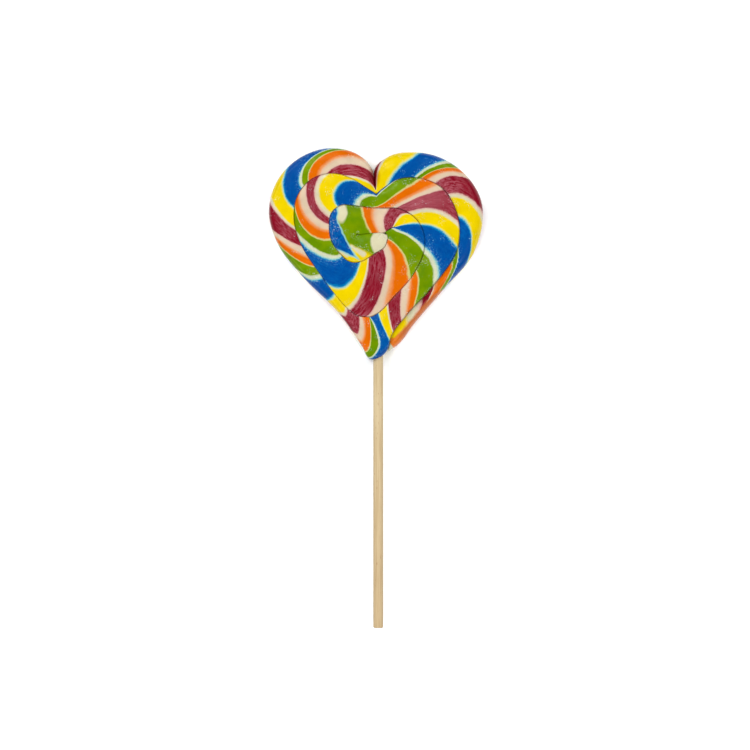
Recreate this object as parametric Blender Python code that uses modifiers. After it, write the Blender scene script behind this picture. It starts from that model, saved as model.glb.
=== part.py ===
"""Heart-shaped swirl lollipop: one sugar rope coiled flat into a heart, on a round wooden stick.

The lollipop lies face up on the ground, with the stick towards -Y.
"""

import math

import bmesh
import bpy
import numpy as np

MM = 0.001

# The coil, in millimetres: x from the stick's axis, y from the heart's lowest point.
# The rope winds clockwise and outwards, so the spokes follow each other clockwise too.
# A spoke's first point is the rope's inner edge on the first turn, on the fold that the
# coil starts round. The next ones are the rope's outer edge, turn by turn: each is the groove
# that the next turn lies against, and the last one on a spoke is the heart's outline.
SPOKES = (
    ("right", (3.2, 49.6), (3.7, 47.9), (18.5, 45.3), (32.0, 46.5), (38.9, 44.5)),
    ("lower right", (1.3, 50.4), (2.5, 44.8), (13.9, 33.8), (21.1, 28.5), (25.1, 27.0)),
    ("right flank", (-1.2, 50.3), (-1.1, 42.4), (6.1, 24.9), (11.5, 18.0), (14.4, 14.5)),
    ("right of the tip", (-4.3, 50.0), (-4.5, 40.2), (-0.7, 18.1), (4.9, 8.7), (7.8, 6.0)),
    ("tip corner", (-6.3, 49.7), (-6.2, 39.3), (-3.1, 17.0), (3.8, 4.2), (5.0, 3.8)),
    ("tip", (-7.5, 49.6), (-7.9, 38.8), (-5.5, 17.0), (0.7, 1.0)),
    ("left of the tip", (-8.1, 49.5), (-9.9, 38.7), (-8.3, 17.4), (-3.2, 0.2)),
    ("above the tip", (-8.5, 49.5), (-12.1, 39.4), (-11.3, 19.4), (-6.5, 5.2)),
    ("left flank", (-8.6, 49.5), (-14.7, 41.7), (-17.1, 25.7), (-16.5, 19.4)),
    ("lower left", (-8.7, 49.6), (-17.0, 44.5), (-24.1, 35.2), (-30.5, 33.6)),
    ("left", (-8.7, 49.7), (-18.7, 47.7), (-30.6, 45.5), (-39.7, 45.7)),
    ("left, higher", (-8.7, 49.8), (-19.5, 53.1), (-33.6, 56.1), (-43.5, 59.1)),
    ("upper left", (-8.7, 49.9), (-18.5, 58.5), (-32.3, 64.9), (-40.5, 70.7)),
    ("left lobe", (-8.6, 50.0), (-14.7, 61.4), (-25.5, 72.5), (-29.9, 81.2)),
    ("left lobe's top", (-8.4, 50.0), (-10.1, 61.3), (-16.5, 74.0), (-16.5, 84.1)),
    ("left lobe's inner side", (-7.5, 49.8), (-6.9, 60.9), (-10.5, 72.0), (-8.1, 81.6)),
    ("left of the notch", (-5.7, 50.0), (-3.9, 60.5), (-4.9, 68.5), (-2.9, 76.6)),
    ("notch", (-3.1, 50.3), (-0.6, 60.3), (-0.7, 65.9), (-1.2, 68.3)),
    ("right of the notch", (-0.5, 50.4), (2.9, 60.2), (3.5, 69.3), (-0.8, 76.8)),
    ("right lobe's inner side", (2.3, 50.6), (6.7, 60.3), (8.1, 71.8), (4.3, 80.9)),
    ("right lobe's top", (4.7, 52.2), (10.9, 59.0), (15.1, 72.4), (13.9, 82.6)),
    ("upper right", (7.0, 53.1), (15.5, 55.5), (24.9, 68.7), (27.1, 79.4)),
    ("right, higher", (2.8, 50.8), (17.9, 51.1), (31.0, 59.2), (41.0, 63.4)),
)
NAMES = [spoke[0] for spoke in SPOKES]
TURN = len(SPOKES)
NOTCH = NAMES.index("notch")
FOLD_TIP = NAMES.index("upper right")
FOLD_ROOT = NAMES.index("right, higher")
TIP_CORNER = NAMES.index("tip corner")
LAST_STATION = 3 * TURN + TIP_CORNER

# Where an edge turns sharply: station: (heading into the corner, heading out of it).
OUTER_CORNERS = {
    TURN + NOTCH: ((0.83, -0.56), (0.70, 0.71)),
    2 * TURN + NOTCH: ((0.10, -1.00), (-0.10, 1.00)),
}
INNER_CORNERS = {
    FOLD_TIP: ((0.88, 0.47), (-0.88, -0.47)),
    FOLD_ROOT: ((-0.88, -0.47), (0.65, -0.76)),
}

# The rope lies in lengths that meet at the folds: each is well under one turn.
LENGTH_ENDS = (0, 9, NOTCH, TURN + 6, TURN + NOTCH, 2 * TURN + 6, 2 * TURN + NOTCH, LAST_STATION)

# The rope's section, in millimetres.
THICKNESS = 11.0
CROWN = 0.5
CROWNED_SPAN = 8.0
TOP_SHOULDER = 1.5
BACK_SHOULDER = 1.2
GROOVE_OVERLAP = 0.12
PLUG_LENGTH = 1.2
PLUG_SCALE = 0.8
START_PLUG_LENGTH = 0.6
TAIL_LENGTH = 0.8
TAIL_ANGLES = (30, 55, 75)
SHOULDER_FACETS = 3
CROWN_FACETS = 4
RING_SPACING = 2.7
FEWEST_RINGS = 2

# How far the rope's top lies below the full thickness, as (station, drop).
DROPS = (
    (TURN, 0.0),
    (TURN + 7, 0.5),
    (2 * TURN, 0.5),
    (2 * TURN + 10, 0.8),
    (3 * TURN - 4, 0.8),
    (3 * TURN, 1.8),
    (LAST_STATION, 3.2),
)

# The outer shoulder's radius, as (station, radius): larger where the rope is the outline.
OUTER_SHOULDERS = (
    (2 * TURN + TIP_CORNER - 1, TOP_SHOULDER),
    (2 * TURN + TIP_CORNER + 1, 3.2),
    (3 * TURN - 3, 3.2),
    (3 * TURN, 4.6),
)

# The seam webs fill the start's fold below its creases: along the fold, and round the start's end.
FOLD_WEB = ("left", "left of the notch", "right of the notch", "right, higher", "upper right")
WEB_WIDTH = 1.2
WEB_BOTTOM = 0.9
WEB_TOP = 9.4

# The stick and its blind socket.
STICK_DIAMETER = 4.0
STICK_LENGTH = 150.0
STICK_BELOW_HEART = 107.5
STICK_CHAMFER = 0.5
STICK_SIDES = 48
SOCKET_GAP = 0.3

SMOOTH_ANGLE = math.radians(38)

CANDY_COLOUR = (0.62, 0.22, 0.08, 1.0)
WOOD_COLOUR = (0.68, 0.47, 0.27, 1.0)


def clear_scene():
    """Removes every object that is there at the start."""
    for thing in list(bpy.data.objects):
        bpy.data.objects.remove(thing, do_unlink=True)


def new_collection(name):
    """Adds a collection to the scene."""
    collection = bpy.data.collections.new(name)
    bpy.context.scene.collection.children.link(collection)
    return collection


def new_material(name, colour, roughness):
    """A plain Principled material."""
    material = bpy.data.materials.new(name)
    material.use_nodes = True
    shader = material.node_tree.nodes["Principled BSDF"]
    shader.inputs["Base Color"].default_value = colour
    shader.inputs["Roughness"].default_value = roughness
    shader.inputs["Metallic"].default_value = 0.0
    material.diffuse_color = colour
    return material


def object_from_bmesh(name, bm, collection):
    """Turns a bmesh into an object, with its faces pointing out."""
    bmesh.ops.recalc_face_normals(bm, faces=bm.faces)
    mesh = bpy.data.meshes.new(name)
    bm.to_mesh(mesh)
    bm.free()
    thing = bpy.data.objects.new(name, mesh)
    collection.objects.link(thing)
    return thing


def headings(points, corners):
    """The curve's heading into and out of each point: one heading unless the point is a corner."""
    steps = np.diff(points, axis=0)
    lengths = np.linalg.norm(steps, axis=1)[:, None]
    units = steps / lengths
    before = np.vstack([units[:1], units])
    after = np.vstack([units, units[-1:]])
    length_before = np.vstack([lengths[:1], lengths])
    length_after = np.vstack([lengths, lengths[-1:]])
    blend = before * length_after + after * length_before
    along = blend / np.linalg.norm(blend, axis=1)[:, None]
    into, out_of = along.copy(), along.copy()
    for station, (heading_in, heading_out) in corners.items():
        into[station] = heading_in
        out_of[station] = heading_out
    return into, out_of


def point_on(points, corners, station):
    """The point at a station, whole or between two, of the smooth curve through the points."""
    into, out_of = headings(points, corners)
    k = min(int(station), len(points) - 2)
    u = station - k
    reach = np.linalg.norm(points[k + 1] - points[k])
    return (
        (2 * u**3 - 3 * u**2 + 1) * points[k]
        + (u**3 - 2 * u**2 + u) * reach * out_of[k]
        + (3 * u**2 - 2 * u**3) * points[k + 1]
        + (u**3 - u**2) * reach * into[k + 1]
    )


def outer_points():
    """The rope's outer edge, a single spiral, station by station."""
    return np.array([spoke[2 + turn] for turn in range(4) for spoke in SPOKES if len(spoke) > 2 + turn])


def fold_points():
    """The rope's inner edge on its first turn, round the start's fold."""
    return np.array([spoke[1] for spoke in SPOKES] + [SPOKES[0][2]])


def rope_edge_points(station):
    """The rope's inner and outer edge at a station.

    From the second turn on the inner edge is the outer one of the turn before.
    """
    outer = point_on(outer_points(), OUTER_CORNERS, station)
    if station < TURN:
        return point_on(fold_points(), INNER_CORNERS, station), outer
    return point_on(outer_points(), OUTER_CORNERS, station - TURN), outer


def ring_stations(first, last):
    """Where a length's rings stand: evenly between each two stations, about a ring spacing apart."""
    points = outer_points()
    stations = []
    for k in range(first, last):
        chord = np.linalg.norm(points[k + 1] - points[k])
        count = max(FEWEST_RINGS, round(chord / RING_SPACING))
        stations += [k + step / count for step in range(count)]
    return stations + [last]


def arc(centre, radius, start, end):
    """Points on a quarter round shoulder, both ends included."""
    angles = np.radians(np.linspace(start, end, SHOULDER_FACETS + 1))
    return [(centre[0] + radius * math.cos(a), centre[1] + radius * math.sin(a)) for a in angles]


def section(width, height, outer_shoulder):
    """The rope's section as (across, up) points: flat below, crowned above, with round shoulders."""
    reach = 0.46 * width
    back = min(BACK_SHOULDER, reach)
    near = min(TOP_SHOULDER, reach)
    far = min(outer_shoulder, reach)
    span = width - far - near
    crown = CROWN * min(1.0, span / CROWNED_SPAN)
    flank = height - crown
    points = arc((width - back, back), back, 270, 360)
    points += arc((width - far, flank - far), far, 0, 90)
    for k in range(1, CROWN_FACETS):
        across = k / CROWN_FACETS
        points.append((width - far - across * span, flank + 4 * crown * across * (1 - across)))
    points += arc((near, flank - near), near, 90, 180)
    points += arc((back, back), back, 180, 270)
    return points


def at_station(station, table):
    """The value of a (station, value) table at a station."""
    stations, values = zip(*table)
    return np.interp(station, stations, values)


def rope_ring(station):
    """The rope's section at a station, as points in space."""
    near, far = rope_edge_points(station)
    across = far - near
    length = np.linalg.norm(across)
    across = across / length
    # The start's fold keeps its own edge: the seam webs join its two sides.
    near_overlap = GROOVE_OVERLAP if station >= TURN else 0.0
    width = length + near_overlap + GROOVE_OVERLAP
    height = THICKNESS - at_station(station, DROPS)
    origin = near - across * near_overlap
    points = section(width, height, at_station(station, OUTER_SHOULDERS))
    return np.array([(*(origin + a * across), z) for a, z in points])


def shrunk(ring, scale, move):
    """A copy of a ring, smaller about its middle and moved along the rope."""
    middle = (ring.max(axis=0) + ring.min(axis=0)) / 2
    return middle + (ring - middle) * scale + np.append(move, 0.0)


def along_rope(station):
    """The rope's direction at a station, in plan."""
    ahead = sum(rope_edge_points(min(station + 0.2, LAST_STATION)))
    behind = sum(rope_edge_points(max(station - 0.2, 0.0)))
    return (ahead - behind) / np.linalg.norm(ahead - behind)


def loft(name, rings, collection):
    """A closed solid through the rings."""
    bm = bmesh.new()
    rows = [[bm.verts.new(point * MM) for point in ring] for ring in rings]
    count = len(rows[0])
    for row, following in zip(rows, rows[1:]):
        for k in range(count):
            after = (k + 1) % count
            bm.faces.new((row[k], row[after], following[after], following[k]))
    bm.faces.new(rows[0])
    bm.faces.new(reversed(rows[-1]))
    return object_from_bmesh(name, bm, collection)


def build_lengths(collection):
    """The rope in lengths, each ending in a plug inside the next one, or in the tail's round end.

    The rope's start has a short plug too, into the strand that passes round it.
    """
    for number, (first, last) in enumerate(zip(LENGTH_ENDS, LENGTH_ENDS[1:])):
        rings = [rope_ring(station) for station in ring_stations(first, last)]
        heading = along_rope(last)
        end_ring = rings[-1]
        if last == LAST_STATION:
            for angle in np.radians(TAIL_ANGLES):
                rings.append(shrunk(end_ring, math.cos(angle), heading * TAIL_LENGTH * math.sin(angle)))
        else:
            rings.append(shrunk(end_ring, PLUG_SCALE, heading * PLUG_LENGTH))
        if first == 0:
            rings.insert(0, shrunk(rings[0], PLUG_SCALE, -along_rope(0) * START_PLUG_LENGTH))
        loft(f"rope_length_{number}", rings, collection)


def build_web(number, near, far, collection):
    """One upright web between two points in plan. Each differs a little, so that no faces coincide."""
    along = far - near
    width = WEB_WIDTH - 0.1 * number
    size = (np.linalg.norm(along) + width, width, WEB_TOP - WEB_BOTTOM - 0.1 * number)
    bm = bmesh.new()
    bmesh.ops.create_cube(bm, size=1.0)
    bmesh.ops.scale(bm, vec=[side * MM for side in size], verts=bm.verts)
    web = object_from_bmesh(f"fold_web_{number}", bm, collection)
    middle = (near + far) / 2
    web.location = (middle[0] * MM, middle[1] * MM, (WEB_TOP + WEB_BOTTOM) / 2 * MM)
    web.rotation_euler.z = math.atan2(along[1], along[0])


def build_webs(collection):
    """The webs along the start's fold, and the one round the start's end."""
    fold = [np.array(SPOKES[NAMES.index(name)][1]) for name in FOLD_WEB]
    spans = list(zip(fold, fold[1:])) + [(fold[3], np.array(SPOKES[0][2]))]
    for number, (near, far) in enumerate(spans):
        build_web(number, near, far, collection)


def round_bar(name, diameter, y_low, y_high, collection):
    """A round bar along Y at half the candy's thickness."""
    bm = bmesh.new()
    bmesh.ops.create_cone(
        bm,
        cap_ends=True,
        segments=STICK_SIDES,
        radius1=diameter / 2 * MM,
        radius2=diameter / 2 * MM,
        depth=(y_high - y_low) * MM,
    )
    bar = object_from_bmesh(name, bm, collection)
    bar.rotation_euler.x = math.radians(-90)
    bar.location = (0.0, (y_low + y_high) / 2 * MM, THICKNESS / 2 * MM)
    return bar


def apply_modifiers(thing):
    """Replaces an object's mesh by its evaluated one."""
    depsgraph = bpy.context.evaluated_depsgraph_get()
    mesh = bpy.data.meshes.new_from_object(thing.evaluated_get(depsgraph))
    thing.modifiers.clear()
    thing.data = mesh


def build_candy(collection, cutters, material):
    """The coiled rope as one solid, with the socket for the stick."""
    lengths = new_collection("rope lengths")
    build_lengths(lengths)
    build_webs(lengths)
    candy = lengths.objects["rope_length_0"]
    lengths.objects.unlink(candy)
    collection.objects.link(candy)
    candy.name = "candy"
    union = candy.modifiers.new("join the rope", "BOOLEAN")
    union.operation = "UNION"
    union.operand_type = "COLLECTION"
    union.collection = lengths
    union.solver = "MANIFOLD"
    bpy.context.view_layer.update()
    apply_modifiers(candy)
    for thing in list(lengths.objects):
        bpy.data.objects.remove(thing, do_unlink=True)
    bpy.data.collections.remove(lengths)

    top = STICK_LENGTH - STICK_BELOW_HEART + SOCKET_GAP
    socket = round_bar("socket_cutter", STICK_DIAMETER + 2 * SOCKET_GAP, -STICK_DIAMETER, top, cutters)
    socket.display_type = "WIRE"
    socket.hide_render = True
    cut = candy.modifiers.new("socket", "BOOLEAN")
    cut.operation = "DIFFERENCE"
    cut.object = socket
    cut.solver = "MANIFOLD"
    bpy.context.view_layer.update()
    apply_modifiers(candy)
    candy.data.materials.clear()
    candy.data.materials.append(material)
    candy.data.shade_smooth()
    candy.data.set_sharp_from_angle(angle=SMOOTH_ANGLE)
    return candy


def build_stick(collection, material):
    """The round wooden stick, with its ends chamfered."""
    top = STICK_LENGTH - STICK_BELOW_HEART
    stick = round_bar("stick", STICK_DIAMETER, -STICK_BELOW_HEART, top, collection)
    bevel = stick.modifiers.new("chamfered ends", "BEVEL")
    bevel.width = STICK_CHAMFER * MM
    bevel.segments = 2
    bevel.limit_method = "ANGLE"
    bevel.angle_limit = math.radians(60)
    stick.data.materials.append(material)
    stick.data.shade_smooth()
    stick.data.set_sharp_from_angle(angle=SMOOTH_ANGLE)
    return stick


def centre_on_origin(things):
    """Moves everything so that the lollipop's box stands centred on the origin."""
    bpy.context.view_layer.update()
    corners = [thing.matrix_world @ vertex.co for thing in things[:2] for vertex in thing.data.vertices]
    low = [min(corner[k] for corner in corners) for k in range(3)]
    high = [max(corner[k] for corner in corners) for k in range(3)]
    for thing in things:
        thing.location.x -= (low[0] + high[0]) / 2
        thing.location.y -= (low[1] + high[1]) / 2
        thing.location.z -= low[2]


def main():
    """Builds the lollipop."""
    clear_scene()
    collection = new_collection("swirl lollipop")
    cutters = new_collection("cutters")
    candy = build_candy(collection, cutters, new_material("boiled sugar", CANDY_COLOUR, 0.15))
    stick = build_stick(collection, new_material("pale wood", WOOD_COLOUR, 0.7))
    centre_on_origin([candy, stick, *cutters.objects])


main()
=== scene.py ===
"""Heart-shaped swirl lollipop: the striped sugar rope, its wooden stick, a pale floor and soft light."""

import math

import bmesh
import bpy
import numpy as np
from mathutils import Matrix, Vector, noise


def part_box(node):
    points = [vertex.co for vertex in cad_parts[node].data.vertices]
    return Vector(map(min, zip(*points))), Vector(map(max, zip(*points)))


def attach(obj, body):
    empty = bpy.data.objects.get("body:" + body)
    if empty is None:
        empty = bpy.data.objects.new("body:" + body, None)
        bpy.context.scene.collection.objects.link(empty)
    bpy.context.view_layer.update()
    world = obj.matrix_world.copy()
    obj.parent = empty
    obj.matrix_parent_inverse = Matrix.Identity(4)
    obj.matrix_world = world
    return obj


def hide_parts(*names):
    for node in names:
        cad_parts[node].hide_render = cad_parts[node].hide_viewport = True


MM = 0.001

# The coil, in millimetres: x from the stick's axis, y from the heart's lowest point.
# The rope winds clockwise and outwards, so the spokes follow each other clockwise too.
# A spoke's first point is the rope's inner edge on the first turn, on the fold that the
# coil starts round. The next ones are the rope's outer edge, turn by turn: each is the groove
# that the next turn lies against, and the last one on a spoke is the heart's outline.
SPOKES = (
    ("right", (3.2, 49.6), (3.7, 47.9), (18.5, 45.3), (32.0, 46.5), (38.9, 44.5)),
    ("lower right", (1.3, 50.4), (2.5, 44.8), (13.9, 33.8), (21.1, 28.5), (25.1, 27.0)),
    ("right flank", (-1.2, 50.3), (-1.1, 42.4), (6.1, 24.9), (11.5, 18.0), (14.4, 14.5)),
    ("right of the tip", (-4.3, 50.0), (-4.5, 40.2), (-0.7, 18.1), (4.9, 8.7), (7.8, 6.0)),
    ("tip corner", (-6.3, 49.7), (-6.2, 39.3), (-3.1, 17.0), (3.8, 4.2), (5.0, 3.8)),
    ("tip", (-7.5, 49.6), (-7.9, 38.8), (-5.5, 17.0), (0.7, 1.0)),
    ("left of the tip", (-8.1, 49.5), (-9.9, 38.7), (-8.3, 17.4), (-3.2, 0.2)),
    ("above the tip", (-8.5, 49.5), (-12.1, 39.4), (-11.3, 19.4), (-6.5, 5.2)),
    ("left flank", (-8.6, 49.5), (-14.7, 41.7), (-17.1, 25.7), (-16.5, 19.4)),
    ("lower left", (-8.7, 49.6), (-17.0, 44.5), (-24.1, 35.2), (-30.5, 33.6)),
    ("left", (-8.7, 49.7), (-18.7, 47.7), (-30.6, 45.5), (-39.7, 45.7)),
    ("left, higher", (-8.7, 49.8), (-19.5, 53.1), (-33.6, 56.1), (-43.5, 59.1)),
    ("upper left", (-8.7, 49.9), (-18.5, 58.5), (-32.3, 64.9), (-40.5, 70.7)),
    ("left lobe", (-8.6, 50.0), (-14.7, 61.4), (-25.5, 72.5), (-29.9, 81.2)),
    ("left lobe's top", (-8.4, 50.0), (-10.1, 61.3), (-16.5, 74.0), (-16.5, 84.1)),
    ("left lobe's inner side", (-7.5, 49.8), (-6.9, 60.9), (-10.5, 72.0), (-8.1, 81.6)),
    ("left of the notch", (-5.7, 50.0), (-3.9, 60.5), (-4.9, 68.5), (-2.9, 76.6)),
    ("notch", (-3.1, 50.3), (-0.6, 60.3), (-0.7, 65.9), (-1.2, 68.3)),
    ("right of the notch", (-0.5, 50.4), (2.9, 60.2), (3.5, 69.3), (-0.8, 76.8)),
    ("right lobe's inner side", (2.3, 50.6), (6.7, 60.3), (8.1, 71.8), (4.3, 80.9)),
    ("right lobe's top", (4.7, 52.2), (10.9, 59.0), (15.1, 72.4), (13.9, 82.6)),
    ("upper right", (7.0, 53.1), (15.5, 55.5), (24.9, 68.7), (27.1, 79.4)),
    ("right, higher", (2.8, 50.8), (17.9, 51.1), (31.0, 59.2), (41.0, 63.4)),
)
NAMES = [spoke[0] for spoke in SPOKES]
TURN = len(SPOKES)
NOTCH = NAMES.index("notch")
FOLD_TIP = NAMES.index("upper right")
FOLD_ROOT = NAMES.index("right, higher")
TIP_CORNER = NAMES.index("tip corner")
LAST_STATION = 3 * TURN + TIP_CORNER

# Where an edge turns sharply: station: (heading into the corner, heading out of it).
OUTER_CORNERS = {
    TURN + NOTCH: ((0.83, -0.56), (0.70, 0.71)),
    2 * TURN + NOTCH: ((0.10, -1.00), (-0.10, 1.00)),
}
INNER_CORNERS = {
    FOLD_TIP: ((0.88, 0.47), (-0.88, -0.47)),
    FOLD_ROOT: ((-0.88, -0.47), (0.65, -0.76)),
}

# The rope's section, in millimetres.
THICKNESS = 11.0
CROWN = 0.45
CROWNED_SPAN = 8.0
GROOVE_SHOULDER = 0.9
BACK_SHOULDER = 1.0

# On a narrow rope the shoulders take no more than these shares of its width or height, and the
# outer one keeps at least this width in millimetres.
MOST_INNER = 0.46
MOST_BOTH = 0.9
MOST_BACK = 0.4
MOST_DROP = 0.6
LEAST_OUTER = 0.05

# Neighbouring turns overlap a little, and more on the fold. The rings stand about this far apart
# along the rope, with no fewer than this many between two stations.
OVERLAP = 0.22
FOLD_OVERLAP = 0.3
RING_SPACING = 0.5
FEWEST_RINGS = 6

# The rope's rounded ends: their length, and the angles at which their rings stand.
NOSE_LENGTH = 0.8
NOSE_ANGLES = (15, 30, 45, 58, 70, 80)

# How many faces each part of the section has, from the inner groove over the top and round the back.
INNER_SHOULDER_FACES = 7
TOP_FACES = 32
OUTER_SHOULDER_FACES = 10
WALL_FACES = 2
BACK_SHOULDER_FACES = 4
BACK_FACES = 10

# How far the rope's top lies below the full thickness, as (station, drop).
DROPS = (
    (TURN, 0.0),
    (TURN + 7, 0.5),
    (2 * TURN, 0.5),
    (2 * TURN + 10, 0.8),
    (3 * TURN - 4, 0.8),
    (3 * TURN, 1.8),
    (LAST_STATION, 3.2),
)

# The outer shoulder's width and height, as (station, size): rounder where the rope is the outline,
# and one long slope on the tail.
SHOULDER_WIDTHS = (
    (2 * TURN + TIP_CORNER - 1, GROOVE_SHOULDER),
    (2 * TURN + TIP_CORNER + 1, 2.6),
    (3 * TURN - 3, 2.6),
    (3 * TURN, 5.5),
)
SHOULDER_HEIGHTS = (
    (2 * TURN + TIP_CORNER - 1, GROOVE_SHOULDER),
    (2 * TURN + TIP_CORNER + 1, 3.2),
    (3 * TURN - 3, 3.2),
    (3 * TURN, 4.6),
)

# The colours follow each other round the rope in this order: green, orange, cream, maroon, pale,
# yellow, blue and the pale fringe. Each begins at this share of one full twist.
COLOUR_SHARES = (0.0, 0.2, 0.32, 0.42, 0.60, 0.64, 0.78, 0.94)

# One row for each full twist: how far along the rope's middle each colour begins, in millimetres.
TWISTS = (
    (-10.0, 35.1, 38.3, 42.6, 47.4, 48.0, 52.3, 55.3),
    (56.8, 64.3, 71.4, 75.4, 86.2, 87.1, 92.7, 105.7),
    (110.0, 116.2, 121.9, 126.5, 130.2, 132.7, 140.1, 150.5),
    (153.2, 166.3, 172.8, 174.9, 182.2, 184.5, 192.1, 204.0),
    (207.6, 216.8, 222.4, 227.4, 233.7, 234.3, 238.1, 241.3),
    (242.2, 244.7, 247.7, 250.5, 258.8, 260.3, 268.0, 277.0),
    (280.2, 286.8, 293.2, 297.1, 305.7, 307.2, 315.8, 326.5),
    (328.5, 332.3, 339.9, 347.6, 361.2, 363.2, 379.0, 388.8),
    (390.8, 392.7, 395.1, 397.9, 407.7, 410.4, 422.4, 438.0),
    (438.4, 441.5, 454.0, 454.3, 458.9, 467.5, 489.0, 500.0),
)

# The green of a twist ends at this share of it, and the coil's green middle at this distance.
GREEN_SHARE = 0.18
MIDDLE_GREEN_END = 34.4

# How a stripe leans over the rope, as (distance along the middle, shift at the inner edge,
# shift at the outer edge, further shift between the middle and the outer edge), in millimetres.
LEANS = (
    (35.1, 3.9, -1.9, 0.0),
    (38.3, 4.4, -1.0, 0.0),
    (42.6, 3.6, 0.6, 0.0),
    (47.4, 2.2, 2.6, -0.8),
    (48.0, 2.0, 1.6, -0.3),
    (52.3, 0.4, 0.6, 0.0),
    (55.3, -2.8, 4.8, 0.0),
    (56.8, -4.1, 4.8, 0.0),
    (64.3, -5.1, 4.8, 0.0),
    (71.4, -8.0, 8.3, 0.0),
    (75.4, -5.7, 11.3, 0.0),
    (86.2, -5.2, 6.0, 0.0),
    (92.7, -6.9, 9.3, 0.0),
    (105.7, -9.3, 9.2, 0.0),
    (110.0, -10.2, 8.8, 0.0),
    (116.2, -1.6, 11.0, -1.0),
    (121.9, -2.2, 9.0, 0.0),
    (126.5, -3.4, 8.1, 0.4),
    (130.2, -4.4, 9.0, 0.0),
    (132.7, -3.5, 9.0, 0.0),
    (140.1, -5.4, 10.9, 0.0),
    (150.5, -6.4, 14.0, -2.5),
    (153.2, -4.8, 14.0, -2.0),
    (166.3, -13.3, 7.0, 0.0),
    (172.8, -9.6, 5.6, 0.0),
    (174.9, -8.8, 5.9, 0.0),
    (182.2, -10.6, 9.3, 0.0),
    (184.5, -9.6, 8.9, 0.0),
    (192.1, -8.9, 7.2, 0.0),
    (204.0, -6.5, 6.0, 0.0),
    (207.6, -6.0, 6.5, 0.0),
    (216.8, -5.7, 7.1, 0.0),
    (222.4, -6.6, 5.4, 0.0),
    (227.4, -5.3, 3.2, 0.0),
    (238.1, -1.2, 0.4, 0.0),
    (241.3, 0.2, 7.2, -1.4),
    (242.2, 0.0, 7.4, -1.4),
    (244.7, -3.3, 7.3, -1.0),
    (247.7, -2.2, 8.0, 0.0),
    (250.5, -3.8, 8.0, 0.0),
    (258.8, -4.6, 5.6, 0.0),
    (260.3, -4.3, 4.8, 0.0),
    (268.0, -2.0, 2.2, 0.0),
    (277.0, -0.6, 5.2, -1.0),
    (280.2, -0.4, 4.8, -0.8),
    (286.8, -3.4, 9.2, 0.0),
    (293.2, -5.0, 5.2, 0.0),
    (297.1, -2.8, 3.6, 0.0),
    (305.7, -3.9, 4.9, 0.0),
    (315.8, -3.4, 8.4, 0.0),
    (326.5, -4.0, 14.5, 0.0),
    (328.5, -4.0, 15.0, -1.5),
    (332.3, -5.0, 14.0, -1.0),
    (339.9, -6.5, 14.0, 0.0),
    (347.6, -11.0, 14.4, 1.5),
    (361.2, -16.8, 11.3, 0.0),
    (363.2, -16.5, 11.0, 0.0),
    (379.0, -9.2, 7.8, 0.0),
    (388.8, -6.4, 7.0, 0.0),
    (392.7, -7.0, 8.0, 0.0),
    (397.9, -5.2, 7.4, 0.0),
    (407.7, -6.2, 9.2, 0.0),
    (422.4, -6.9, 14.2, 1.0),
    (438.0, -9.0, 9.2, 0.0),
    (441.5, -4.8, 15.0, 0.0),
    (454.3, -6.4, 12.0, 0.0),
    (458.9, -2.5, 8.0, 0.0),
    (467.5, -0.5, 5.0, 0.0),
)

# This makes the further shift full at three quarters of the way across.
BELLY_GAIN = 14.2

# The table of twists: how many levels it has across the rope, and its step and end along it.
ACROSS_LEVELS = 41
TABLE_STEP = 0.5
TABLE_END = 500.0

# The patches of colour on the coil's green middle, in the spokes' millimetres: a blue sickle
# between a wide ring's edge and a line, yellow under a line, and cream ovals and bars.
MIDDLE_LENGTH = 33.0
SICKLE_RING = ((49.1, 79.8), 70.0)
SICKLE_TOP_X = -16.6
SICKLE_FOOT = ((-15.5, 43.6), (-9.4, 40.9))
LEMON_EDGE = ((-11.3, 45.7), (-4.0, 42.4))
CREAM_OVAL = ((-14.8, 58.6), (2.4, 4.6))
CREAM_BARS = (((-10.8, 45.0), (-5.8, 41.9), 0.75), ((-15.4, 43.0), (-12.6, 41.6), 0.75))
CREAM_CAP = ((4.2, 46.4), 7.0)

# A distance in millimetres that counts as far from any patch or edge.
FAR_OFF = 5.0

# The tail's outer side is one orange strip, its own orange dulled to brown as painted shade of the
# sloping side: where its upper edge runs, as (distance along the middle, share of the rope's width
# from the inner edge).
TAIL_STRIP = (
    (449.0, 1.0),
    (452.0, 0.68),
    (456.0, 0.56),
    (468.0, 0.57),
    (473.0, 0.5),
    (475.5, 0.35),
    (477.7, -0.1),
    (478.3, -0.1),
    (479.2, 1.2),
)

# Before the strip begins, its upper edge counts as lying off the rope, at this share of the width.
NO_STRIP = 2.0

# From here on the tail's end is pale.
TAIL_LIP = 478.4

# The sugar is clear near the heart's outline and hazy further in. A turn that isn't on the outline
# counts as this many millimetres further in. The tail is all clear: its haze fades out between
# these two distances along the rope.
FURTHER_IN = 7.0
CLEAR_TAIL = (436.0, 446.0)

# From here on no painted groove shade, and no painted glint beside a groove, runs beside the tail.
TAIL_JOINED = 456.0

# Small presses in the sugar, as (x, y) on the coil, with their depth, spread and limit in millimetres.
PRESSES = (
    (-16.7, 66.7), (-14.1, 66.1), (-36.9, 69.3), (-36.5, 67.7), (-31.7, 69.7), (-14.1, 45.3),
    (-30.7, 77.7), (-23.1, 78.5), (25.9, 75.3), (31.1, 67.7), (34.3, 67.7), (29.1, 41.7),
    (27.1, 39.3), (6.7, 16.1), (12.3, 21.3), (15.9, 28.5), (-28.9, 44.5), (-24.5, 36.9),
    (-28.1, 39.3), (-8.3, 46.1), (22.3, 36.9), (9.9, 20.1), (-26.1, 76.1), (-35.3, 61.3),
)
PRESS_DEPTH = 0.16
PRESS_SPREAD = 0.42
PRESS_LIMIT = 2.0
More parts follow.
